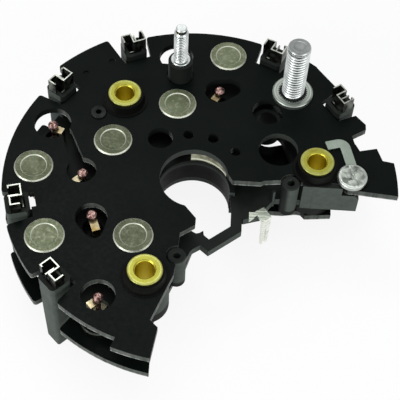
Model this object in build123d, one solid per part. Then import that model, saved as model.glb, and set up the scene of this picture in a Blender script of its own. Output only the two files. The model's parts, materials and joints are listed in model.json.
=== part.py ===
from build123d import *
import os
from math import atan2, cos, degrees, hypot, radians, sin

os.makedirs("parts", exist_ok=True)

# Alternator rectifier: two heat-sink plates with six press-fit diodes each, and a moulded
# carrier between them that holds the phase conductors and six stator terminals.
# Millimetres. The origin is on the rotor shaft's axis, at the underside of the lower plate,
# which seats on the end shield. +Z points along the terminal studs.

# Heights
plate_thickness = 2.5
plate_gap = 14.5
lower_top = plate_thickness
upper_bottom = lower_top + plate_gap
upper_top = upper_bottom + plate_thickness

# Stator terminals: three pairs, 80 degrees apart
terminal_angles = [50 + 80 * pair + side * 15 for pair in range(3) for side in (-1, 1)]
tower_inner_radius = 54.2
tower_depth = 7.8
tower_outer_radius = tower_inner_radius + tower_depth
tower_half_width = 3.9
tower_corner_radius = 1.5
tower_above_plate = 2.0
chimney_below_plate = 15.2
chimney_foot_half_width = 3.1
chimney_foot_corner_radius = 0.8
chimney_foot_inner_radius = tower_inner_radius + 1.1
lead_bore_inner_radius = tower_inner_radius + 1.3
lead_bore_outer_radius = tower_outer_radius - 1.4
lead_bore_half_width = 2.3
slot_clearance = 0.4
slot_floor_half_width = 4.75
slot_mouth_half_width = 6.4
slot_mouth_reach = 7.5
deep_slot_angle = terminal_angles[4]
deep_slot_floor = tower_inner_radius - 1.9
deep_slot_sides = (-4.4, 1.0)

# Plate outlines: the rims stand past the towers, and the ring opening sits a little off the axis
sector_end = 300
upper_rim_radius = tower_outer_radius + 0.8
stud_rim_radius = tower_outer_radius + 2.3
wide_rim_radius = tower_outer_radius + 4.2
lower_rim_radius = tower_outer_radius + 1.3
ring_centre = (-0.5, 0.2)
upper_ring_radius = 11.3
lower_ring_radius = 12.3
rim_corner_fillet = 1.0
window_place = (-9.4, 51.2)
window_radius = 5.85
window_front = 47.8

# Diodes, each place a radius and an angle about the shaft
case_radius = 6.375
case_height = 5.0
case_proud = 0.4
face_step_radius = 4.4
face_step_depth = 0.25
potting_radius = 5.4
potting_tip_radius = 1.9
potting_rise = 0.7
lead_radius = 0.8
lead_depth_in_case = 2.0
lead_length = 18.9
nugget_radius = 1.7
nugget_height = 2.3
positive_places = [(53.7, 80.6), (31.4, 104.3), (31.3, 154.4), (53.1, 178.9), (52.7, 208.6), (29.7, 231.5)]
negative_places = [(39.1, 80.6), (52.9, 100.7), (52.8, 158.3), (37.1, 178.9), (35.9, 205.2), (52.8, 238.5)]
case_hole_in_other_plate = 6.2
dimple_places = [(-31.6, 47.4), (-40.0, 41.4)]
dimple_radius = 1.2
dimple_depth = 0.5

# Mounting bushes on the bolt circle
bolt_circle_radius = 40.0
bolt_angles = [10, 130, 250]
bush_bore_radius = 3.15
bush_radius = 4.4
bush_spigot_radius = 3.9
bush_flange_radius = 5.6
bush_flange_thickness = 1.0
collar_height = 3.0
collar_radius = 6.8
collar_top_radius = 6.3
collar_lip_radius = 7.7
collar_lip_height = 0.4
collar_spigot_radius = 5.9
sleeve_clearance = 0.1
boss_radius = 7.6

# Moulded carrier
web_bottom = 7.1
web_thickness = 3.0
web_top = web_bottom + web_thickness
web_radius = 57.0
web_gap_at_slot = (51.6, 175.5, 190.4)
ring_wall_radius = 12.0
ring_wall_thickness = 1.8
ring_wall_top = 12.0
post_places = [(-4.3, -29.5), (31.2, 0.4)]
post_radius = 2.9
post_bottom = 4.4
post_screw_radius = 1.3
post_screw_depth = 12.0
post_gap = 0.5
peg_place = (26.0, -0.4)
peg_radius = 0.6
peg_top = 15.5
wall_thickness = 1.5
front_wall_back = 0.9
front_wall_bottom = 6.6
front_wall_end_top = 15.4
front_wall_reach = (35.2, 48.2, 54.1)
lead_window_radius = 3.4
eyelet_boss_radius = 4.0
socket_place = (23.2, 29.3)
socket_radius = 5.0
socket_bore_radius = 3.6
socket_depth = 2.5

# Phase bars and terminal clips; a negative lug has its direction from the lead and its length
bar_thickness = 1.0
bar_radius = 49.4
bar_width = 3.4
bar_hole_radius = 1.2
lug_width = 2.6
lug_thickness = 0.8
lug_foot_margin = 1.0
negative_lugs = [(240, 2.8), (281, 2.8), (338, 2.8), (225, 2.8), (291, 4.5), (222, 2.8)]
clip_back_radius = tower_inner_radius + 2.1
clip_depth = 3.8
clip_thickness = 0.45
clip_height = 5.0
clip_tongue_drop = 1.5
clip_leg_half_width = 2.0

# Terminal studs
battery_stud_place = (31.4, 37.7)
battery_stud_radius = 3.9
battery_stud_seat_radius = 4.15
battery_stud_length = 23.1
battery_stud_head_radius = 6.6
battery_stud_head_height = 3.2
battery_collar_radius = 6.95
battery_collar_thickness = 1.5
phase_stud_place = (-7.64, 43.2)
phase_stud_radius = 2.4
phase_stud_nose_radius = 1.9
phase_stud_nose_length = 1.6
phase_stud_length = 15.5
phase_flange_radius = 3.25
phase_flange_thickness = 1.0
phase_post_radius = 4.2
phase_post_above_plate = 7.6

# Strap, its rivet and the regulator contacts
strap_thickness = 0.8
strap_width = 3.4
strap_path = [(42.9, 15.8), (48.6, 17.6), (51.1, 8.0), (51.1, 3.1)]
strap_bend_radius = 2.0
strap_end_radius = 2.9
rivet_place = strap_path[-1]
rivet_head_radius = 5.0
rivet_head_height = 1.6
rivet_shank_radius = 2.2
rivet_tail_radius = 3.4
rivet_tail_height = 1.2
ring_contact_thickness = 0.7
ring_contact_angles = (30, 97)
ring_contact_top = 16.7
tongue_start = (21.6, -4.5)
tongue_bend = (24.2, -8.3)
tongue_width = 3.8
tongue_tip_width = 2.6
tongue_thickness = 0.8
tongue_drop = 14.6
tongue_slot_width = 0.8
tongue_slot_length = 9.0
tongue_ear = [(18.3, -5.8), (21.6, -5.6), (21.4, -6.6), (18.3, -9.2)]
eyelet_place = (-34.1, 24.4)
eyelet_radius = 2.7
eyelet_shank_radius = 1.8
eyelet_bore_radius = 1.0
eyelet_height = 0.7


def polar(radius, angle):
    return (radius * cos(radians(angle)), radius * sin(radians(angle)))


def rod(place, radius, bottom, top):
    up = (Align.CENTER, Align.CENTER, Align.MIN)
    return Pos(place[0], place[1], bottom) * Cylinder(radius, top - bottom, align=up)


def slab(sketch, bottom, top):
    return extrude(Pos(0, 0, bottom) * sketch, amount=top - bottom)


def outline(points):
    return make_face(Polyline(*points, close=True))


def dot(place, radius):
    return Pos(place[0], place[1]) * Circle(radius)


def stretched_hole(place_a, radius_a, place_b, radius_b):
    return make_hull((dot(place_a, radius_a) + dot(place_b, radius_b)).edges())


def radial_box(angle, inner, outer, half_width):
    box = Pos((inner + outer) / 2, 0) * Rectangle(outer - inner, 2 * half_width)
    return Rot(0, 0, angle) * box


def sector(radius, start, end):
    arc = CenterArc((0, 0), radius, start, end - start)
    return make_face([Line((0, 0), arc @ 0), arc, Line(arc @ 1, (0, 0))])


def band(inner, outer, start, end):
    return sector(outer, start, end) - Circle(inner)


def strip_along(points, width):
    return trace(Polyline(*points), width)


# Plates

def rim_slot(angle, rim_radius):
    floor = tower_inner_radius - slot_clearance
    reach = wide_rim_radius + 4
    flare = (slot_mouth_half_width - slot_floor_half_width) / (rim_radius - floor)
    mouth = slot_floor_half_width + flare * (reach - floor)
    points = [(floor, -slot_floor_half_width), (reach, -mouth), (reach, mouth), (floor, slot_floor_half_width)]
    return Rot(0, 0, angle) * outline(points)


def post_notches():
    return sum((dot(place, post_radius + post_gap) for place in post_places), Sketch())


def bolt_places():
    return [polar(bolt_circle_radius, angle) for angle in bolt_angles]


def deep_slot():
    start, end = deep_slot_sides
    middle = (deep_slot_floor + tower_inner_radius) / 2
    notch = Pos(middle, (start + end) / 2) * Rectangle(tower_inner_radius - deep_slot_floor, end - start)
    return Rot(0, 0, deep_slot_angle) * notch


def upper_outline():
    full = sector(upper_rim_radius, 0, sector_end)
    wide = band(50, wide_rim_radius, 115, 145)
    stud_side = band(50, stud_rim_radius, 35, 65)
    end_tab = band(50, wide_rim_radius, 250.5, 264)
    wing = outline([(45, 25), (45, -1), (wide_rim_radius, -2.4), (wide_rim_radius, 10.7), (61.6, 11.5),
                    (59.8, 16.4), (53.4, 14.8), (51.6, 21.1)]) & Circle(wide_rim_radius)
    shape = full + wide + stud_side + end_tab + wing - outline([(39.9, 50.2), (48.6, 39.2), (80, 50), (60, 80)])
    right_side = outline([(53.3, 14.8), (51.6, 21.1), (56.4, 24.2), (56.4, 26.2), (52.5, 30.5), (75, 40),
                          (75, 10.6), (61.6, 11.5), (59.8, 16.4)])
    open_sector = outline([(-12.2, -80), (-8.5, -55.0), (-11.0, -52.7), (-4.9, -36.5), (-4.3, -29.5),
                           (-3.9, -21.3), (0.8, -17.9), (0.9, -15.4), (-3.0, -10.7), (0, 0), (10.8, 2.2),
                           (15.0, -5.1), (16.8, -4.5), (19.8, -1.1), (22.3, 0.6), (27.0, 1.2), (48.6, 1.2),
                           (49.8, -0.9), (90, -4.5), (90, -80)])
    return shape - right_side - open_sector - dot(ring_centre, upper_ring_radius) - post_notches() - deep_slot()


def upper_openings():
    holes = [stretched_hole((6.0, 37.0), 4.8, (9.8, 38.7), 3.9),
             stretched_hole((-32.4, -17.3), 5.2, (-31.2, -22.0), 3.2),
             dot((-37.4, 0.6), 4.9), stretched_hole((-39.4, 4.0), 2.6, (-43.8, 15.6), 1.6),
             dot((-27.4, -45.2), 5.4), dot((-49.0, 19.0), 6.2),
             dot(socket_place, socket_radius + 0.3), dot((26.9, 13.6), 6.6),
             dot((-12.6, 15.4), 4.2), dot((-3.3, 17.6), 1.8), dot((5.0, 16.7), 1.9), dot((12.7, 11.7), 1.7),
             dot(phase_stud_place, phase_post_radius + post_gap)]
    kept = Pos(window_place[0], window_front + window_radius) * Rectangle(4 * window_radius, 2 * window_radius)
    window = dot(window_place, window_radius) & kept
    return sum(holes, Sketch()) + window


def lower_outline():
    full = sector(lower_rim_radius, 0, sector_end)
    open_sector = outline([(-10.6, -80), (-10.9, -44.5), (-4.9, -29.0), (-2.3, -26.0), (1.6, -12.7), (0, 0),
                           (12.7, -1.6), (26.7, -0.6), (34.5, 0.8), (36.2, 0.6), (37.5, -0.9), (46.3, 0.0),
                           (46.3, 5.0), (60.5, 20.0), (90, 40), (90, -80)])
    end = outline([(35.0, 3), (36.2, 0.6), (37.5, -0.9), (46.3, 0.0), (46.3, 3)])
    return full + end - open_sector - dot(ring_centre, lower_ring_radius)


def lower_openings():
    lead_holes = [dot(polar(*place), case_hole_in_other_plate) for place in positive_places]
    under_stud = stretched_hole((24.6, 31.6), 4.6, battery_stud_place, 8.6)
    return sum(lead_holes, Sketch()) + under_stud


def off_terminal(point):
    angle = degrees(atan2(point.Y, point.X)) % 360
    return min(abs(angle - terminal) for terminal in terminal_angles)


def slotted_slab(shape, rim_radius, bottom, top):
    for angle in terminal_angles:
        shape -= rim_slot(angle, rim_radius)
    plate = slab(shape, bottom, top)
    mouths = [edge for edge in plate.edges().filter_by(Axis.Z)
              if hypot(edge.center().X, edge.center().Y) > rim_radius - 0.5
              and off_terminal(edge.center()) < slot_mouth_reach]
    return fillet(mouths, rim_corner_fillet)


def positive_plate():
    plate = slotted_slab(upper_outline() - upper_openings(), upper_rim_radius, upper_bottom, upper_top)
    bottom, top = upper_bottom - 1, upper_top + 1
    return plate - [
        *[rod(polar(*place), case_radius, bottom, top) for place in positive_places],
        *[rod(place, collar_spigot_radius, bottom, top) for place in bolt_places()],
        rod(battery_stud_place, battery_stud_seat_radius, bottom, top),
        rod(rivet_place, rivet_shank_radius, bottom, top),
        rod(eyelet_place, eyelet_shank_radius, bottom, top),
        *[rod(place, dimple_radius, upper_top - dimple_depth, top) for place in dimple_places]]


def negative_plate():
    plate = slotted_slab(lower_outline() - lower_openings(), lower_rim_radius, 0, lower_top)
    return plate - [
        *[rod(polar(*place), case_radius, -1, lower_top + 1) for place in negative_places],
        *[rod(place, bush_spigot_radius, -1, lower_top + 1) for place in bolt_places()]]


# Diodes, drawn with the contact face at height zero and the lead pointing up

def diode_case():
    rim = 0.4
    profile = outline([(0, face_step_depth), (face_step_radius - 0.3, face_step_depth), (face_step_radius, 0),
                       (case_radius - rim, 0), (case_radius, rim), (case_radius, case_height - rim),
                       (case_radius - rim, case_height), (potting_radius, case_height),
                       (potting_tip_radius, case_height + potting_rise), (0, case_height + potting_rise)])
    case = revolve(Plane.XZ * profile, Axis.Z)
    return case - rod((0, 0), lead_radius, case_height - lead_depth_in_case, case_height + potting_rise + 1)


def diode_lead():
    foot = case_height - lead_depth_in_case
    neck = lead_length - nugget_height
    profile = outline([(0, foot), (lead_radius, foot), (lead_radius, neck), (nugget_radius, neck + 0.6),
                       (nugget_radius, lead_length - 0.7), (nugget_radius - 0.6, lead_length - 0.1),
                       (0, lead_length)])
    return revolve(Plane.XZ * profile, Axis.Z)


def on_negative_plate(shape, place):
    x, y = polar(*place)
    return Pos(x, y, -case_proud) * shape


def on_positive_plate(shape, place):
    x, y = polar(*place)
    return Pos(x, y, upper_top + case_proud) * Rot(180, 0, 0) * shape


# Bushes and their insulating collars

def bush(place):
    flange_bottom = upper_top + collar_height
    flange_top = flange_bottom + bush_flange_thickness
    body = rod(place, bush_radius, lower_top, flange_bottom)
    body += rod(place, bush_spigot_radius, 0, lower_top)
    flange = fillet(rod(place, bush_flange_radius, flange_bottom, flange_top).edges().group_by(Axis.Z)[-1], 0.3)
    body += flange
    body -= rod(place, bush_bore_radius, -1, flange_top + 1)
    return chamfer(body.edges().group_by(Axis.Z)[-1].sort_by(SortBy.RADIUS)[0], 0.4)


def collar(place):
    lip_top = upper_top + collar_lip_height
    top = upper_top + collar_height
    body = rod(place, collar_lip_radius, upper_top, lip_top)
    body += Pos(place[0], place[1], (lip_top + top) / 2) * Cone(collar_radius, collar_top_radius, top - lip_top)
    body += rod(place, collar_spigot_radius, upper_bottom, upper_top)
    return body - rod(place, bush_radius + sleeve_clearance, upper_bottom - 1, top + 1)


# Phase conductors

def lug_end(place):
    radius = place[0]
    return radius - lead_radius if radius > bar_radius else radius + lead_radius


def hanging_lug(place, bottom, top):
    end = lug_end(place)
    back = end - lug_thickness if place[0] > bar_radius else end + lug_thickness
    return slab(radial_box(place[1], min(end, back), max(end, back), lug_width / 2), bottom, top)


def standing_lug(place, facing, length, bottom, top):
    x, y = polar(*place)
    end = lead_radius + length
    sheet = slab(radial_box(0, end - lug_thickness, end, lug_width / 2), bottom, top)
    toe = slab(radial_box(0, lead_radius, end, lug_width / 2), top - lug_thickness, top)
    return Pos(x, y, 0) * Rot(0, 0, facing) * (sheet + toe)


def lug_foot(place, facing, length):
    x, y = polar(*place)
    dx, dy = polar(lead_radius + length - lug_thickness / 2, facing)
    return (hypot(x + dx, y + dy), degrees(atan2(y + dy, x + dx)) % 360)


def phase_bar(terminals, positives, negatives, lugs):
    half = bar_width / 2
    feet = [lug_foot(place, *lug) for place, lug in zip(negatives, lugs)]
    angles = terminals + [place[1] for place in positives + feet]
    flat = band(bar_radius - half, bar_radius + half, min(angles), max(angles))
    for angle in terminals:
        flat += radial_box(angle, bar_radius, clip_back_radius + clip_thickness / 2, clip_leg_half_width)
    for place in positives:
        end = lug_end(place)
        flat += radial_box(place[1], min(end, bar_radius), max(end, bar_radius), lug_width / 2)
    for radius, angle in feet:
        inner, outer = min(radius - lug_foot_margin, bar_radius), max(radius + lug_foot_margin, bar_radius)
        flat += radial_box(angle, inner, outer, half)
    for place in negatives:
        flat -= dot(polar(*place), bar_hole_radius)
    lowest = upper_top + case_proud - lead_length + nugget_height
    highest = lead_length - case_proud - nugget_height
    return slab(flat, web_bottom, web_bottom + bar_thickness) + [
        *[hanging_lug(place, lowest, web_bottom + bar_thickness) for place in positives],
        *[standing_lug(place, *lug, web_bottom, highest) for place, lug in zip(negatives, lugs)]]


def stud_tap():
    radius, angle = hypot(*phase_stud_place), degrees(atan2(phase_stud_place[1], phase_stud_place[0]))
    flat = radial_box(angle, radius - phase_stud_radius, bar_radius, phase_stud_radius)
    return slab(flat, web_bottom, web_bottom + bar_thickness)


def phase_bars():
    bars = [phase_bar(terminal_angles[pair], positive_places[pair], negative_places[pair], negative_lugs[pair])
            for pair in (slice(0, 2), slice(2, 4), slice(4, 6))]
    bars[0] += stud_tap()
    return bars


def clip(angle):
    bottom = upper_top + tower_above_plate
    top = bottom + clip_height
    back, front = clip_back_radius, clip_back_radius + clip_depth
    meander = [(front, -2.7), (front, -3.65), (back, -3.65), (back, 0.5), (front, 0.5), (front, 3.6),
               (front - 3.0, 3.6)]
    walls = slab(strip_along(meander, clip_thickness), bottom, top)
    tongue = slab(strip_along([(back + 0.9, -0.8), (front + 0.5, -0.8)], clip_thickness),
                  bottom, top - clip_tongue_drop)
    floor = slab(Pos((back + front) / 2, -0.15) * Rectangle(clip_depth, 1.7), bottom, bottom + clip_thickness)
    leg = slab(Pos(back, 0) * Rectangle(clip_thickness, 2 * clip_leg_half_width),
               web_bottom + bar_thickness, bottom)
    return Rot(0, 0, angle) * (walls + [tongue, floor, leg])


# Moulded carrier

def web_outline():
    full = sector(web_radius, 0, sector_end)
    open_sector = outline([(-13.0, -80), (-13.0, -46), (-8.0, -33), (-4.3, -29.5), (-2.5, -25.0), (0, 0),
                           (18.0, -4.0), (24.0, -1.2), (31.2, 0.2), (90, 0.2), (90, -80)])
    frame = [(14.2, -2.0), (14.2, -12.6), (5.5, -19.6), (2.9, -17.4), (-1.5, -20.5), (-4.3, -27.0)]
    shape = full - open_sector + strip_along(frame, 3.6)
    shape += outline([(12.0, 2), (12.0, -4), (16.4, -8.9), (22.3, -7.0), (24.0, -3.5), (27.0, 0.5)])
    shape += outline([(3.9, -16.5), (3.5, -14.1), (2.3, -15.0), (1.2, -15.3), (-0.6, -14.3), (-3.0, -12.8),
                      (-6.0, -14.0), (-4.5, -27.0), (0, -22.0)])
    shape -= outline([(54.4, -5), (52.0, 20), (75, 20), (75, -5)])
    gap_radius, gap_start, gap_end = web_gap_at_slot
    return shape - band(gap_radius, web_radius + 1, gap_start, gap_end) - dot(ring_centre, ring_wall_radius)


def web_openings():
    windows = [dot(polar(*place), lead_window_radius) for place in positive_places + negative_places]
    windows.append(stretched_hole((26.9, 13.6), 5.6, (24.9, 23.0), 4.4))
    return sum(windows, Sketch())


def tower(angle):
    middle = (tower_inner_radius + tower_outer_radius) / 2
    depth = tower_outer_radius - tower_inner_radius
    top = upper_top + tower_above_plate
    section = RectangleRounded(depth, 2 * tower_half_width, tower_corner_radius)
    shaft = slab(Pos(middle, 0) * section, lower_top, top)
    foot_depth = tower_outer_radius - chimney_foot_inner_radius
    foot_middle = (tower_outer_radius + chimney_foot_inner_radius) / 2
    foot_section = RectangleRounded(foot_depth, 2 * chimney_foot_half_width, chimney_foot_corner_radius)
    foot = loft([Pos(middle, 0, lower_top) * section, Pos(foot_middle, 0, -chimney_below_plate) * foot_section])
    return Rot(0, 0, angle) * (shaft + foot)


def lead_bore(angle):
    return slab(radial_box(angle, lead_bore_inner_radius, lead_bore_outer_radius, lead_bore_half_width),
                -chimney_below_plate - 1, upper_top + tower_above_plate + 1)


def front_wall():
    start, step, end = front_wall_reach
    profile = outline([(start, front_wall_bottom), (end, front_wall_bottom), (end, front_wall_end_top - 1.6),
                       (end - 1.6, front_wall_end_top), (step, front_wall_end_top),
                       (step, upper_top - 0.2), (start, upper_top - 0.2)])
    return Pos(0, front_wall_back, 0) * extrude(Plane.XZ * profile, amount=wall_thickness)


def ring_wall():
    wall = band(ring_wall_radius, ring_wall_radius + ring_wall_thickness, 0, 250)
    return slab(Pos(*ring_centre) * wall, lower_top, ring_wall_top)


def post(place):
    shape = rod(place, post_radius, post_bottom, upper_top)
    return chamfer(shape.edges().group_by(Axis.Z)[-1], 0.4)


def carrier(conductors):
    post_top = upper_top + phase_post_above_plate
    web = slab(web_outline() - web_openings(), web_bottom, web_top)
    body = web + [
        ring_wall(),
        front_wall(),
        rod(peg_place, peg_radius, web_bottom, peg_top),
        rod(phase_stud_place, phase_post_radius, web_bottom, post_top),
        rod(eyelet_place, eyelet_boss_radius, web_bottom, upper_bottom),
        rod(socket_place, socket_radius, web_bottom, upper_bottom - socket_depth),
        *[rod(place, boss_radius, lower_top, upper_bottom) for place in bolt_places()],
        *[post(place) for place in post_places],
        *[tower(angle) for angle in terminal_angles]]
    return body - [
        rod(phase_stud_place, phase_stud_radius, web_bottom, post_top + 1),
        rod(eyelet_place, eyelet_shank_radius, web_bottom - 1, upper_bottom + 1),
        rod(socket_place, socket_bore_radius, web_bottom - 1, upper_bottom),
        *[rod(place, bush_radius + sleeve_clearance, lower_top - 1, upper_bottom + 1) for place in bolt_places()],
        *[rod(place, post_screw_radius, upper_top - post_screw_depth, upper_top + 1) for place in post_places],
        *[lead_bore(angle) for angle in terminal_angles],
        *conductors]


# Studs

def battery_stud():
    seat_top = upper_top + battery_collar_thickness
    shank = rod(battery_stud_place, battery_stud_radius, seat_top, seat_top + battery_stud_length)
    shank = chamfer(shank.edges().group_by(Axis.Z)[-1], 1.0)
    head_bottom = upper_bottom - battery_stud_head_height
    return shank + [rod(battery_stud_place, battery_stud_seat_radius, upper_bottom, seat_top),
                    rod(battery_stud_place, battery_stud_head_radius, head_bottom, upper_bottom)]


def battery_collar():
    top = upper_top + battery_collar_thickness
    ring = rod(battery_stud_place, battery_collar_radius, upper_top, top)
    ring = chamfer(ring.edges().group_by(Axis.Z)[-1], 0.3)
    return ring - rod(battery_stud_place, battery_stud_seat_radius, upper_top - 1, top + 1)


def phase_stud():
    seat = upper_top + phase_post_above_plate
    flange_top = seat + phase_flange_thickness
    thread_top = flange_top + phase_stud_length - phase_stud_nose_length
    body = rod(phase_stud_place, phase_stud_radius, web_bottom + bar_thickness, thread_top)
    body += rod(phase_stud_place, phase_flange_radius, seat, flange_top)
    nose = rod(phase_stud_place, phase_stud_nose_radius, thread_top, thread_top + phase_stud_nose_length)
    return body + chamfer(nose.edges().group_by(Axis.Z)[-1], 0.5)


# Strap, rivet, contacts

def strap():
    flat = trace(FilletPolyline(*strap_path, radius=strap_bend_radius), strap_width)
    flat += dot(rivet_place, strap_end_radius)
    body = slab(flat, upper_top, upper_top + strap_thickness)
    return body - rod(rivet_place, rivet_shank_radius, upper_top - 1, upper_top + strap_thickness + 1)


def strap_rivet():
    seat = upper_top + strap_thickness
    head = rod(rivet_place, rivet_head_radius, seat, seat + rivet_head_height)
    head = fillet(head.edges().group_by(Axis.Z)[-1], 0.9)
    body = head + rod(rivet_place, rivet_shank_radius, upper_bottom, seat)
    return body + rod(rivet_place, rivet_tail_radius, upper_bottom - rivet_tail_height, upper_bottom)


def ring_contact():
    inner = ring_wall_radius + 0.2
    flat = band(inner, inner + ring_contact_thickness, *ring_contact_angles)
    return slab(Pos(*ring_centre) * flat, ring_wall_top, ring_contact_top)


def contact_tongue():
    dx, dy = tongue_bend[0] - tongue_start[0], tongue_bend[1] - tongue_start[1]
    length = hypot(dx, dy)
    bottom, tip = web_top - tongue_thickness, web_top - tongue_drop
    flat = slab(radial_box(0, 0, length, tongue_width / 2), bottom, web_top)
    half, tip_half, slot_half = tongue_width / 2, tongue_tip_width / 2, tongue_slot_width / 2
    slot_top = tip + tongue_slot_length
    blade = outline([(-half, web_top), (half, web_top), (tip_half, tip), (slot_half, tip), (slot_half, slot_top),
                     (-slot_half, slot_top), (-slot_half, tip), (-tip_half, tip)])
    drop = Pos(length, 0, 0) * extrude(Plane.YZ * blade, amount=-tongue_thickness)
    piece = Pos(tongue_start[0], tongue_start[1], 0) * Rot(0, 0, degrees(atan2(dy, dx))) * (flat + drop)
    return piece + slab(outline(tongue_ear), bottom, web_top)


def eyelet():
    body = rod(eyelet_place, eyelet_radius, upper_top, upper_top + eyelet_height)
    body = fillet(body.edges().group_by(Axis.Z)[-1], 0.3)
    body += rod(eyelet_place, eyelet_shank_radius, web_bottom, upper_top)
    body += rod(eyelet_place, eyelet_radius, web_bottom - eyelet_height, web_bottom)
    return body - rod(eyelet_place, eyelet_bore_radius, web_bottom - 2, upper_top + 2)


def build():
    nodes = {}
    bars = phase_bars()
    clips = [clip(angle) for angle in terminal_angles]
    tongue = contact_tongue()
    nodes["positive_plate"] = positive_plate()
    nodes["negative_plate"] = negative_plate()
    nodes["terminal_carrier"] = carrier(bars + clips + [tongue])
    case = diode_case()
    for number, place in enumerate(positive_places, 1):
        nodes[f"positive_diode_{number}"] = on_positive_plate(case, place)
        nodes[f"positive_lead_{number}"] = on_positive_plate(diode_lead(), place)
    for number, place in enumerate(negative_places, 1):
        nodes[f"negative_diode_{number}"] = on_negative_plate(case, place)
        nodes[f"negative_lead_{number}"] = on_negative_plate(diode_lead(), place)
    for number, place in enumerate(bolt_places(), 1):
        nodes[f"mounting_bush_{number}"] = bush(place)
        nodes[f"insulating_collar_{number}"] = collar(place)
    for number, piece in enumerate(bars, 1):
        nodes[f"phase_bar_{number}"] = piece
    for number, piece in enumerate(clips, 1):
        nodes[f"stator_clip_{number}"] = piece
    nodes["battery_stud"] = battery_stud()
    nodes["battery_stud_collar"] = battery_collar()
    nodes["phase_stud"] = phase_stud()
    nodes["strap"] = strap()
    nodes["strap_rivet"] = strap_rivet()
    nodes["ring_contact"] = ring_contact()
    nodes["regulator_contact"] = tongue
    nodes["carrier_eyelet"] = eyelet()
    return nodes


for name, shape in build().items():
    export_step(shape, f"parts/{name}.step")
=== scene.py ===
import json
import math
import bpy
import bmesh
from mathutils import Matrix, Vector


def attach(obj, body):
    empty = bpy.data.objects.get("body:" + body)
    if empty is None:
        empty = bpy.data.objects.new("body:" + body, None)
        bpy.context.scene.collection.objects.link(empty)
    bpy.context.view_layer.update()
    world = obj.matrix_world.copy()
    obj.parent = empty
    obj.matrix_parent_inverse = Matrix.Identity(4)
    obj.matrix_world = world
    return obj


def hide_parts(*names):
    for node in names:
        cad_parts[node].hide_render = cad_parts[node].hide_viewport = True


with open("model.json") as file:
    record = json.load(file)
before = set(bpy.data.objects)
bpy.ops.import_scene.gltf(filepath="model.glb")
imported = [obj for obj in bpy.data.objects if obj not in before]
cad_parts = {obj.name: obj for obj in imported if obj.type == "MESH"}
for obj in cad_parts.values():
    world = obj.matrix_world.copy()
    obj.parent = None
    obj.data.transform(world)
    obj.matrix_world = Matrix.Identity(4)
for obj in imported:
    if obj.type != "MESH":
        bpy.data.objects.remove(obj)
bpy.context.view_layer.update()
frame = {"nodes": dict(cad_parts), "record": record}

mm = 0.001

# Places and sizes that the solids share with this script, in millimetres.
# A reach is a radius and how far its soft edge goes beyond it.
floor_height = -15.2
bush_circle = 40
bush_angles = (10, 130, 250)
bush_places = [(bush_circle * math.cos(math.radians(a)), bush_circle * math.sin(math.radians(a)))
               for a in bush_angles]
bush_bore_reach = (3.2, 0.1)
bush_rim_reach = (4.5, 0.25)
ring_centre = (-0.5, 0.2)
ring_wall_reach = (13, 0.5)
rivet_place = (51.1, 3.1)
rivet_highlight_reach = (3.8, 0.8)
wide_hole_centre = (26.9, 13.6)
wide_hole_reach = (6.8, 0.2)
web_reach = (53, 1)
burr_heights = (0.2, 17.2)
burr_width = 0.4

# Levels of painted shade and painted light on the carrier. Each is full below its first height
# and ends at its second.
web_underside_shade = (6.4, 6.9)
ring_wall_shadow = (9.3, 9.7)
ring_wall_lit_foot = (2.2, 2.6)

# Painted bands on the ring wall and its contact, a lit ledge and a highlight: the height and half
# the width of each
ring_wall_lit_ledge = (10.3, 0.5)
ring_contact_highlight = (13.0, 0.35)

battery_place = (31.4, 37.7)
battery_collar_top = 21.0
battery_collar_highlight_reach = (7.3, 0.2)
battery_radius = 3.9
battery_seat_radius = 4.15
battery_tip = 44.1
battery_head = (6.6, 13.8, 17.0)
battery_pitch = 1.25
battery_steps = 56
battery_teeth = (4.4, 5.0, 36)
battery_tooth_depth = 0.5
battery_teeth_sunk = 0.05
battery_teeth_proud = 0.12

phase_place = (-7.64, 43.2)
phase_flange = (3.25, 27.1, 28.1)
phase_radius = 2.4
phase_foot = 8.1
phase_thread_top = 41.2
phase_nose = (1.9, 43.6)
phase_pitch = 0.8
phase_steps = 40

# Thread form: its depth and flanks as shares of the pitch, where the painted shade of the grooves
# begins, and how narrow the stronger painted shade on the front is
thread_depth = 0.58
root_width = 0.12
flank_width = 0.7
rows_per_turn = 10
groove_shade_start = 0.35
front_shade_sharpness = 24

# Each positive diode's face is darker or lighter by its own share
diode_tints = (0.86, 0.76, 0.5, 0.57, 0.74, 0.48)
diode_shades = ((0.09, 0.108, 0.056), (0.16, 0.18, 0.115), (0.25, 0.27, 0.18))

# Walls of the upper plate that catch the light
lit_wall = (0.042, 0.048, 0.043)

# The photograph's camera
focal_length = 102.6
view_elevation = 56.42
view_roll = 3.47
camera_place = (1.85, -211.5, 325.4)

# Name, place and size in metres, and power in watts of each lamp
lamps = (
    ("key", (-0.75, -0.6, 0.4), (0.5, 0.5), 6),
    ("fill", (0.75, -0.55, 0.45), (0.6, 0.6), 2),
    ("front", (0.0, -0.9, 0.22), (0.9, 0.3), 2),
    ("top", (0.1, -0.1, 1.2), (0.7, 0.7), 4),
    ("sheen", (-0.18, 0.45, 0.92), (0.3, 0.3), 2),
)
world_light = (0.32, 0.33, 0.34, 1)
floor_colour = (0.86, 0.86, 0.86, 1)
floor_half = 2.5
floor_glow = 0.88


# Camera, lights and floor

def add_camera():
    data = bpy.data.cameras.new("camera")
    data.lens = focal_length
    data.sensor_width = 36
    data.clip_start = 0.01
    data.clip_end = 20
    camera = bpy.data.objects.new("camera", data)
    bpy.context.scene.collection.objects.link(camera)
    tilt = Matrix.Rotation(math.radians(90 - view_elevation), 4, "X")
    roll = Matrix.Rotation(math.radians(view_roll), 4, "Z")
    camera.matrix_world = Matrix.Translation(Vector(camera_place) * mm) @ tilt @ roll
    bpy.context.scene.camera = camera


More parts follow.
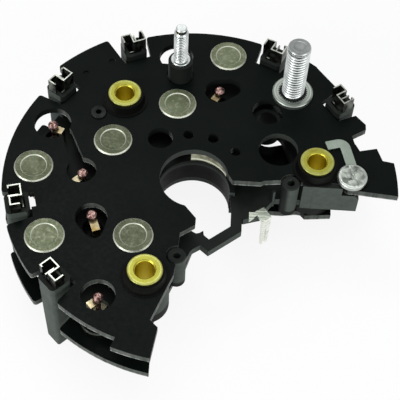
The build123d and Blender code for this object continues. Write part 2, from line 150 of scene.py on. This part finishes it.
def area_light(name, place, size, power):
    """A rectangular lamp that points at the part."""
    data = bpy.data.lights.new(name, "AREA")
    data.shape = "RECTANGLE"
    data.size, data.size_y = size
    data.energy = power
    lamp = bpy.data.objects.new(name, data)
    lamp.location = place
    lamp.rotation_euler = (Vector((0, 0, 0)) - Vector(place)).to_track_quat("-Z", "Y").to_euler()
    bpy.context.scene.collection.objects.link(lamp)


def seen_directly(tree):
    """1 for camera, glossy and transmission rays, which see the white background."""
    path = tree.nodes.new("ShaderNodeLightPath")
    found = path.outputs["Is Camera Ray"]
    for kind in ("Is Glossy Ray", "Is Transmission Ray"):
        either = tree.nodes.new("ShaderNodeMath")
        either.operation = "MAXIMUM"
        tree.links.new(found, either.inputs[0])
        tree.links.new(path.outputs[kind], either.inputs[1])
        found = either.outputs[0]
    return found


def add_world():
    world = bpy.data.worlds.new("studio")
    world.use_nodes = True
    bpy.context.scene.world = world
    tree = world.node_tree
    background = tree.nodes["Background"]
    mix = tree.nodes.new("ShaderNodeMix")
    mix.data_type = "RGBA"
    mix.inputs["A"].default_value = world_light
    mix.inputs["B"].default_value = (1, 1, 1, 1)
    tree.links.new(seen_directly(tree), mix.inputs["Factor"])
    tree.links.new(mix.outputs["Result"], background.inputs["Color"])


def add_floor():
    mesh = bpy.data.meshes.new("floor")
    corners = [(x * floor_half, y * floor_half, floor_height * mm)
               for x, y in ((-1, -1), (1, -1), (1, 1), (-1, 1))]
    mesh.from_pydata(corners, [], [(0, 1, 2, 3)])
    floor = bpy.data.objects.new("floor", mesh)
    bpy.context.scene.collection.objects.link(floor)
    material = bpy.data.materials.new("floor")
    material.use_nodes = True
    tree = material.node_tree
    surface = tree.nodes["Principled BSDF"]
    surface.inputs["Base Color"].default_value = floor_colour
    surface.inputs["Roughness"].default_value = 0.9
    glow = tree.nodes.new("ShaderNodeEmission")
    share = tree.nodes.new("ShaderNodeMath")
    share.operation = "MULTIPLY"
    share.inputs[1].default_value = floor_glow
    mix = tree.nodes.new("ShaderNodeMixShader")
    tree.links.new(seen_directly(tree), share.inputs[0])
    tree.links.new(share.outputs[0], mix.inputs["Fac"])
    tree.links.new(surface.outputs[0], mix.inputs[1])
    tree.links.new(glow.outputs[0], mix.inputs[2])
    tree.links.new(mix.outputs[0], tree.nodes["Material Output"].inputs["Surface"])
    mesh.materials.append(material)


# Materials

def scaled(colour, share):
    return tuple(share * c for c in colour)


class Shade:
    """A node material in the making, with the object's own coordinates in metres."""

    def __init__(self, name):
        self.material = bpy.data.materials.new(name)
        self.material.use_nodes = True
        self.tree = self.material.node_tree
        self.surface = self.tree.nodes["Principled BSDF"]
        self.place = self.tree.nodes.new("ShaderNodeTexCoord").outputs["Object"]

    def node(self, kind, **values):
        made = self.tree.nodes.new("ShaderNode" + kind)
        for key, value in values.items():
            setattr(made, key, value)
        return made

    def link(self, source, target):
        self.tree.links.new(source, target)

    def set(self, **values):
        for key, value in values.items():
            self.surface.inputs[key.replace("_", " ")].default_value = value

    def vector(self, operation, first, second, output="Vector"):
        made = self.node("VectorMath", operation=operation)
        for value, target in ((first, made.inputs[0]), (second, made.inputs[1])):
            if isinstance(value, tuple):
                target.default_value = value
            elif value is not None:
                self.link(value, target)
        return made.outputs[output]

    def upright(self, source):
        """The Z of a vector."""
        split = self.node("SeparateXYZ")
        self.link(source, split.inputs[0])
        return split.outputs["Z"]

    def multiply(self, first, second):
        made = self.node("Math", operation="MULTIPLY")
        self.link(first, made.inputs[0])
        self.link(second, made.inputs[1])
        return made.outputs[0]

    def span(self, source, low, high, to_low, to_high):
        made = self.node("MapRange")
        ends = (("From Min", low), ("From Max", high), ("To Min", to_low), ("To Max", to_high))
        for key, value in ends:
            made.inputs[key].default_value = value
        self.link(source, made.inputs["Value"])
        return made.outputs[0]

    def blend(self, factor, first, second):
        made = self.node("Mix", data_type="RGBA")
        for key, value in (("A", first), ("B", second)):
            if isinstance(value, tuple):
                made.inputs[key].default_value = (*value, 1)
            else:
                self.link(value, made.inputs[key])
        self.link(factor, made.inputs["Factor"])
        return made.outputs["Result"]

    def grade(self, source, low, high, first, second, share=1):
        """From the first colour to the second while a value goes from low to high."""
        return self.blend(self.span(source, low, high, 0, share), first, second)

    def stretched(self, scale):
        mapping = self.node("Mapping")
        mapping.inputs["Scale"].default_value = scale
        self.link(self.place, mapping.inputs["Vector"])
        return mapping.outputs[0]

    def noise(self, scale, detail=3, stretch=None, distortion=0):
        made = self.node("TexNoise")
        made.inputs["Scale"].default_value = scale
        made.inputs["Detail"].default_value = detail
        made.inputs["Distortion"].default_value = distortion
        self.link(self.stretched(stretch) if stretch else self.place, made.inputs["Vector"])
        return made.outputs["Fac"]

    def turned(self, centre, scale):
        """Fine circular tool marks about a vertical line."""
        made = self.node("TexNoise", noise_dimensions="1D")
        made.inputs["Scale"].default_value = scale
        made.inputs["Detail"].default_value = 3
        self.link(self.from_axis(centre), made.inputs["W"])
        return made.outputs["Fac"]

    def stored(self, name):
        return self.node("Attribute", attribute_name=name).outputs["Fac"]

    def steepness(self, low=0.3, high=0.8):
        """1 on walls, 0 on level faces."""
        flat = self.node("Math", operation="ABSOLUTE")
        self.link(self.upright(self.node("NewGeometry").outputs["Normal"]), flat.inputs[0])
        return self.span(flat.outputs[0], low, high, 1, 0)

    def facing_out(self):
        """1 on walls that look away from the shaft, 0 on those that look towards it."""
        away = self.vector("NORMALIZE", self.vector("MULTIPLY", self.place, (1, 1, 0)), None)
        normal = self.node("NewGeometry").outputs["Normal"]
        return self.span(self.vector("DOT_PRODUCT", normal, away, "Value"), -0.4, 0.0, 0, 1)

    def below(self, full, ended):
        return self.span(self.upright(self.place), full * mm, ended * mm, 1, 0)

    def near_height(self, z, half):
        made = self.node("Math", operation="COMPARE")
        self.link(self.upright(self.place), made.inputs[0])
        made.inputs[1].default_value = z * mm
        made.inputs[2].default_value = half * mm
        return made.outputs[0]

    def from_axis(self, centre):
        """The distance from a vertical line."""
        offset = self.vector("SUBTRACT", self.place, (centre[0] * mm, centre[1] * mm, 0))
        return self.vector("LENGTH", self.vector("MULTIPLY", offset, (1, 1, 0)), None, "Value")

    def within(self, centre, radius, edge):
        return self.span(self.from_axis(centre), (radius + edge) * mm, radius * mm, 0, 1)

    def beyond(self, centre, radius, edge, share=1):
        return self.span(self.from_axis(centre), radius * mm, (radius + edge) * mm, 0, share)

    def colour(self, source):
        self.link(source, self.surface.inputs["Base Color"])

    def roughness(self, source, low, high):
        self.link(self.span(source, 0.3, 0.7, low, high), self.surface.inputs["Roughness"])

    def bump(self, height, distance, strength):
        made = self.node("Bump")
        made.inputs["Strength"].default_value = strength
        made.inputs["Distance"].default_value = distance
        self.link(height, made.inputs["Height"])
        self.link(made.outputs[0], self.surface.inputs["Normal"])

    def metal(self, texture, rough, depth, strength, metallic=1.0):
        """Ends a metal, whose roughness and relief follow one texture."""
        self.roughness(texture, *rough)
        self.set(Metallic=metallic)
        self.bump(texture, depth, strength)
        return self.material


def plate_coating():
    """Dark paint on the faces, with bare sheared metal on the outer walls and bright burrs that
    are partly painted highlight. Walls that face the shaft carry painted shade, and the walls of
    the ring opening and the wide hole carry painted light.
    """
    s = Shade("plate_coating")
    cloud = s.noise(60, 4)
    fine = s.noise(900, 2)
    streak = s.noise(700, 3, (1, 1, 0.12))
    face = s.grade(cloud, 0.35, 0.7, (0.0018, 0.0034, 0.0026), (0.0034, 0.0052, 0.0044))
    sheared = s.grade(streak, 0.3, 0.7, (0.048, 0.054, 0.048), (0.1, 0.108, 0.097))
    # Bright burr lines: bare metal with a painted highlight, broken into patches by the streaks
    wear_and_highlight = s.span(streak, 0.35, 0.6, 0, 1)
    for z in burr_heights:
        burr = s.multiply(s.near_height(z, burr_width / 2), wear_and_highlight)
        sheared = s.blend(burr, sheared, (0.3, 0.32, 0.3))
    # Painted shade on walls that face the shaft, and painted light on the walls of the ring
    # opening and the wide hole
    wall = s.blend(s.facing_out(), (0.008, 0.01, 0.009), sheared)
    wall = s.blend(s.within(ring_centre, *ring_wall_reach), wall, lit_wall)
    wall = s.blend(s.within(wide_hole_centre, *wide_hole_reach), wall, lit_wall)
    s.colour(s.blend(s.steepness(), face, wall))
    s.roughness(fine, 0.32, 0.44)
    s.set(Specular_IOR_Level=0.035)
    s.bump(fine, 0.00003, 0.5)
    return s.material


def moulding(name, dark, light, shine):
    """Moulded plastic with painted light and shade: tops darker and outer walls lighter, walls
    that face the shaft darker, painted shade under the web and on the ring wall, and painted
    light on the ring wall's ledge and foot.
    """
    s = Shade(name)
    cloud = s.noise(140, 4)
    grain = s.noise(2600, 2)
    patches = s.noise(520, 4)
    # Painted light and shade: tops darker and walls lighter, and walls that face the shaft darker
    # again
    top = s.grade(cloud, 0.35, 0.7, scaled(dark, 0.6), scaled(light, 0.7))
    side = s.grade(patches, 0.2, 0.8, scaled(dark, 3.8), scaled(light, 3.4))
    wall = s.blend(s.facing_out(), scaled(dark, 0.7), side)
    # Painted shade under the web, a painted shadow low on the ring wall, and painted light on the
    # ring wall's ledge and foot
    under = s.multiply(s.below(*web_underside_shade), s.within((0, 0), *web_reach))
    wall = s.blend(under, wall, scaled(dark, 0.5))
    inside = s.within(ring_centre, *ring_wall_reach)
    wall = s.blend(s.multiply(inside, s.below(*ring_wall_shadow)), wall, scaled(dark, 0.12))
    wall = s.blend(s.multiply(inside, s.near_height(*ring_wall_lit_ledge)), wall, scaled(dark, 2.2))
    wall = s.blend(s.multiply(inside, s.below(*ring_wall_lit_foot)), wall, scaled(dark, 3))
    s.colour(s.blend(s.steepness(), top, wall))
    s.roughness(cloud, 0.5, 0.65)
    s.set(Specular_IOR_Level=shine)
    s.bump(grain, 0.00004, 0.6)
    return s.material


def metal(name, dark, light, rough, grain_scale=900):
    s = Shade(name)
    s.colour(s.grade(s.noise(180, 4), 0.3, 0.7, dark, light))
    return s.metal(s.noise(grain_scale), rough, 0.00002, 0.5)


def hammered(name, dark, light, scale, edge=None):
    """Dented metal, with a painted highlight beyond a reach about a vertical line where one is
    given.
    """
    s = Shade(name)
    dents = s.noise(scale, 3, distortion=0.8)
    face = s.grade(dents, 0.35, 0.65, dark, light)
    # Painted highlight beyond the given reach
    if edge:
        centre, reach, bright = edge
        face = s.blend(s.beyond(centre, *reach, 0.8), face, bright)
    s.colour(face)
    return s.metal(dents, (0.25, 0.45), 0.0004, 0.8)


def diode_face(name, tint):
    """Stained nickel with a painted highlight on the rim where the case turns down."""
    s = Shade(name)
    dark, light, fleck = (scaled(shade, tint) for shade in diode_shades)
    face = s.grade(s.noise(240), 0.3, 0.75, dark, light)
    face = s.grade(s.noise(900), 0.52, 0.72, face, fleck, 0.7)
    # Painted highlight on the steep rim
    s.colour(s.blend(s.steepness(0.75, 0.97), face, (0.48, 0.5, 0.42)))
    return s.metal(s.noise(1500, 4), (0.38, 0.58), 0.00004, 0.7, 0.8)


def brass(index):
    """A turned flange about its own bore."""
    centre = bush_places[index]
    s = Shade("brass_%d" % (index + 1))
    marks = s.turned(centre, 2600)
    face = s.grade(marks, 0.3, 0.7, (0.17, 0.165, 0.022), (0.3, 0.295, 0.052))
    face = s.blend(s.beyond(centre, *bush_rim_reach), face, (0.26, 0.268, 0.078))
    face = s.grade(s.noise(300, 4), 0.5, 0.75, face, (0.16, 0.13, 0.012), 0.6)
    s.colour(s.blend(s.within(centre, *bush_bore_reach), face, (0.66, 0.56, 0.055)))
    return s.metal(marks, (0.32, 0.5), 0.00003, 0.6)


def zinc_steel():
    """Zinc plating, darkened by a stored value: painted shade in the grooves of the thread, and
    darker end faces.
    """
    s = Shade("zinc_steel")
    cloud = s.noise(260, 4)
    plated = s.grade(cloud, 0.3, 0.7, (0.5, 0.54, 0.525), (0.78, 0.82, 0.81))
    s.colour(s.blend(s.stored("shade_and_tone"), plated, (0.04, 0.045, 0.045)))
    return s.metal(cloud, (0.22, 0.36), 0.00001, 0.3)


def battery_collar():
    """A turned collar with a painted highlight on its rim."""
    s = Shade("battery_collar")
    marks = s.turned(battery_place, 2200)
    face = s.grade(marks, 0.3, 0.7, (0.2, 0.225, 0.2), (0.36, 0.39, 0.36))
    # Painted highlight on the rim
    rim = s.beyond(battery_place, *battery_collar_highlight_reach, 0.7)
    s.colour(s.blend(rim, face, (0.66, 0.7, 0.68)))
    return s.metal(marks, (0.28, 0.42), 0.00002, 0.5)


def clip_tin():
    """Thin bent strip: the cut edges and tops are bright, the walls mirror the dark part."""
    s = Shade("clip_tin")
    cloud = s.noise(500)
    bright = s.grade(cloud, 0.3, 0.7, (0.17, 0.185, 0.16), (0.46, 0.48, 0.43))
    wall = s.grade(cloud, 0.35, 0.65, (0.025, 0.029, 0.025), (0.17, 0.18, 0.155))
    s.colour(s.blend(s.steepness(0.2, 0.6), bright, wall))
    return s.metal(cloud, (0.25, 0.4), 0.00002, 0.4)


def contact_spring():
    """Brushed strip, with painted light on the walls where it hangs down."""
    s = Shade("contact_spring")
    brushed = s.noise(900, 3, (0.25, 2, 2))
    flat = s.grade(brushed, 0.35, 0.65, (0.16, 0.18, 0.15), (0.5, 0.54, 0.46))
    wall = s.grade(brushed, 0.35, 0.65, (0.62, 0.66, 0.56), (0.92, 0.94, 0.88))
    # Painted light on the walls that hang down
    s.colour(s.blend(s.steepness(0.8, 0.95), flat, wall))
    return s.metal(brushed, (0.3, 0.45), 0.00002, 0.5)


def ring_tin():
    """The contact on the ring wall, with a painted highlight along its upper edge."""
    s = Shade("ring_tin")
    cloud = s.noise(330, 4)
    face = s.grade(cloud, 0.35, 0.65, (0.09, 0.092, 0.05), (0.42, 0.43, 0.31))
    # Painted highlight along the upper edge
    s.colour(s.blend(s.near_height(*ring_contact_highlight), face, (0.72, 0.74, 0.6)))
    return s.metal(cloud, (0.3, 0.45), 0.00002, 0.5)


def build_materials():
    """One material for each slot of the record."""
    return {
        "plate_coating": plate_coating(),
        "carrier_plastic": moulding("carrier_plastic", (0.012, 0.0146, 0.0125),
                                    (0.02, 0.0242, 0.021), 0.08),
        "insulator": moulding("insulator", (0.0012, 0.0014, 0.001),
                              (0.0032, 0.0034, 0.003), 0.06),
        "diode_case": diode_face("diode_case", 1),
        "copper_lead": hammered("copper_lead", (0.025, 0.011, 0.009), (0.42, 0.265, 0.24), 700),
        "tinned_strip": metal("tinned_strip", (0.4, 0.41, 0.34), (0.7, 0.71, 0.62), (0.28, 0.45)),
        "zinc_steel": zinc_steel(),
        "bare_aluminium": metal("bare_aluminium", (0.165, 0.2, 0.165), (0.23, 0.27, 0.23),
                                (0.34, 0.5), 1600),
        "dull_steel": metal("dull_steel", (0.006, 0.007, 0.0065), (0.02, 0.022, 0.021),
                            (0.4, 0.55)),
    }


def own_materials():
    """Nodes that look different from the rest of their slot."""
    found = {"mounting_bush_%d" % (index + 1): brass(index) for index in range(len(bush_places))}
    clip = clip_tin()
    found.update({"stator_clip_%d" % (index + 1): clip for index in range(6)})
    shaded = metal("shaded_case", (0.012, 0.014, 0.012), (0.05, 0.055, 0.048), (0.35, 0.5))
    for index, tint in enumerate(diode_tints):
        name = "diode_face_%d" % (index + 1)
        found["positive_diode_%d" % (index + 1)] = diode_face(name, tint)
        found["negative_diode_%d" % (index + 1)] = shaded
    bars = metal("bar_tin", (0.14, 0.1, 0.036), (0.36, 0.33, 0.235), (0.28, 0.45), 500)
    found.update({"phase_bar_%d" % (index + 1): bars for index in range(3)})
    found["battery_stud_collar"] = battery_collar()
    # The rivet's bright edge is a painted highlight
    found["strap_rivet"] = hammered("rivet_head", (0.075, 0.085, 0.075), (0.35, 0.38, 0.34), 330,
                                    (rivet_place, rivet_highlight_reach, (0.46, 0.49, 0.46)))
    found["regulator_contact"] = contact_spring()
    found["ring_contact"] = ring_tin()
    return found


def dress_nodes(materials):
    slots = {part["node"]: part["material_slot"] for part in frame["record"]["subparts"]}
    own = own_materials()
    for name, piece in frame["nodes"].items():
        piece.data.materials.clear()
        piece.data.materials.append(own.get(name) or materials[slots[name]])


# Threads and teeth

def revolved(name, rows, steps, material, centre):
    """A closed skin through rows about a vertical line.

    A row is its radius, height and darkness, each for an angle, and whether its edge is sharp.
    """
    mesh = bmesh.new()
    depth = mesh.verts.layers.float.new("shade_and_tone")
    rings = []
    for radius, height, shade_and_tone, sharp in rows:
        circle = []
        for step in range(steps):
            turn = 2 * math.pi * step / steps
            r = radius(turn)
            vert = mesh.verts.new((r * math.cos(turn), r * math.sin(turn), height(turn)))
            vert[depth] = shade_and_tone(turn)
            circle.append(vert)
        rings.append(circle)
    for low, high in zip(rings, rings[1:]):
        for step in range(steps):
            after = (step + 1) % steps
            mesh.faces.new((low[step], low[after], high[after], high[step]))
    mesh.faces.new(list(reversed(rings[0])))
    mesh.faces.new(rings[-1])
    for (*_, sharp), circle in zip(rows, rings):
        for one, other in zip(circle, circle[1:] + circle[:1]):
            mesh.edges.get((one, other)).smooth = not sharp
    for vert in mesh.verts:
        vert.co = (vert.co + Vector((centre[0], centre[1], 0))) * mm
    data = bpy.data.meshes.new(name)
    mesh.to_mesh(data)
    mesh.free()
    for face in data.polygons:
        face.use_smooth = len(face.vertices) == 4
    data.materials.append(material)
    piece = bpy.data.objects.new(name, data)
    bpy.context.scene.collection.objects.link(piece)
    return piece


def plain(value):
    return lambda turn: value


def ring(radius, height, dark=0.0):
    return (plain(radius), plain(height), plain(dark), True)


def thread_radius(z, turn, pitch, major, start, end):
    """A single-start thread that runs out over one pitch at each end."""
    phase = (z / pitch - turn / (2 * math.pi)) % 1.0
    ridge = 1 - abs(2 * phase - 1)
    crest = min(1.0, max(0.0, (ridge - root_width) / flank_width))
    run_out = min(1.0, max(0.0, (z - start) / pitch), max(0.0, (end - z) / pitch))
    return major - thread_depth * pitch * (1 - crest) * run_out


def threaded_rows(major, pitch, start, end):
    count = int(round((end - start) / pitch * rows_per_turn))
    rows = []
    for index in range(count + 1):
        z = start + (end - start) * index / count

        def radius(turn, z=z):
            return thread_radius(z, turn, pitch, major, start, end)

        # Painted shade in the grooves, deeper where they are deeper, and strongest on the side
        # that faces -y, where it stands for a dark reflection
        def shade_and_tone(turn, z=z):
            depth = (major - radius(turn, z)) / (thread_depth * pitch)
            front = max(0.0, -math.sin(turn)) ** front_shade_sharpness
            dark = min(1.0, max(0.0, depth - groove_shade_start + 0.3 * front) / groove_shade_start)
            return dark * (0.75 + 0.25 * front)

        rows.append((radius, plain(z), shade_and_tone, False))
    return rows


def battery_stud(material):
    head_radius, head_bottom, head_top = battery_head
    end_radius, end_start, tip = battery_radius - 0.1, battery_tip - 0.9, battery_tip
    rows = [ring(head_radius - 0.4, head_bottom), ring(head_radius, head_bottom + 0.4),
            ring(head_radius, head_top), ring(battery_seat_radius, head_top),
            ring(battery_seat_radius, battery_collar_top),
            ring(battery_radius, battery_collar_top + 0.05)]
    rows += threaded_rows(battery_radius, battery_pitch, battery_collar_top + 0.3, end_start)
    rows += [ring(end_radius, end_start, 0.4), ring(end_radius, tip - 0.4, 0.2),
             ring(battery_radius - 0.5, tip, 0.72), ring(2.2, tip, 0.66),
             ring(2.0, tip - 0.08, 0.76), ring(0.6, tip - 0.12, 0.66)]
    piece = revolved("battery_stud_thread", rows, battery_steps, material,
                     battery_place)
    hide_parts("battery_stud")
    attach(piece, "root")


def battery_teeth_ring(material):
    """The teeth on the collar, round the foot of the stud, in dark steel that paints the shade
    between them.
    """
    inner, outer, count = battery_teeth

    def toothed(turn):
        on_tooth = (turn * count / (2 * math.pi)) % 1.0 < 0.5
        return outer if on_tooth else outer - battery_tooth_depth

    low, high = battery_collar_top - battery_teeth_sunk, battery_collar_top + battery_teeth_proud
    rows = [ring(inner, low, 1.0), (toothed, plain(low), plain(1.0), True),
            (toothed, plain(high), plain(1.0), True), ring(inner, high, 1.0)]
    piece = revolved("battery_collar_teeth", rows, 4 * count, material,
                     battery_place)
    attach(piece, "root")


def phase_stud(material):
    flange_radius, flange_bottom, flange_top = phase_flange
    nose_radius, tip = phase_nose
    rows = [ring(phase_radius, phase_foot), ring(phase_radius, flange_bottom),
            ring(flange_radius, flange_bottom), ring(flange_radius, flange_top - 0.2),
            ring(flange_radius - 0.2, flange_top, 0.35), ring(phase_radius, flange_top, 0.5)]
    rows += threaded_rows(phase_radius, phase_pitch, flange_top + 0.1, phase_thread_top)
    rows += [ring(phase_radius, phase_thread_top, 0.25),
             ring(nose_radius, phase_thread_top + 0.6, 0.3), ring(nose_radius, tip - 0.4, 0.2),
             ring(nose_radius - 0.35, tip, 0.45), ring(nose_radius - 0.6, tip, 0.25),
             ring(0.4, tip, 0.25)]
    piece = revolved("phase_stud_thread", rows, phase_steps, material, phase_place)
    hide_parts("phase_stud")
    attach(piece, "root")


def main():
    add_camera()
    add_world()
    add_floor()
    for lamp in lamps:
        area_light(*lamp)
    materials = build_materials()
    dress_nodes(materials)
    battery_stud(materials["zinc_steel"])
    battery_teeth_ring(materials["dull_steel"])
    phase_stud(materials["zinc_steel"])
    bpy.context.scene.view_settings.view_transform = "Standard"


main()
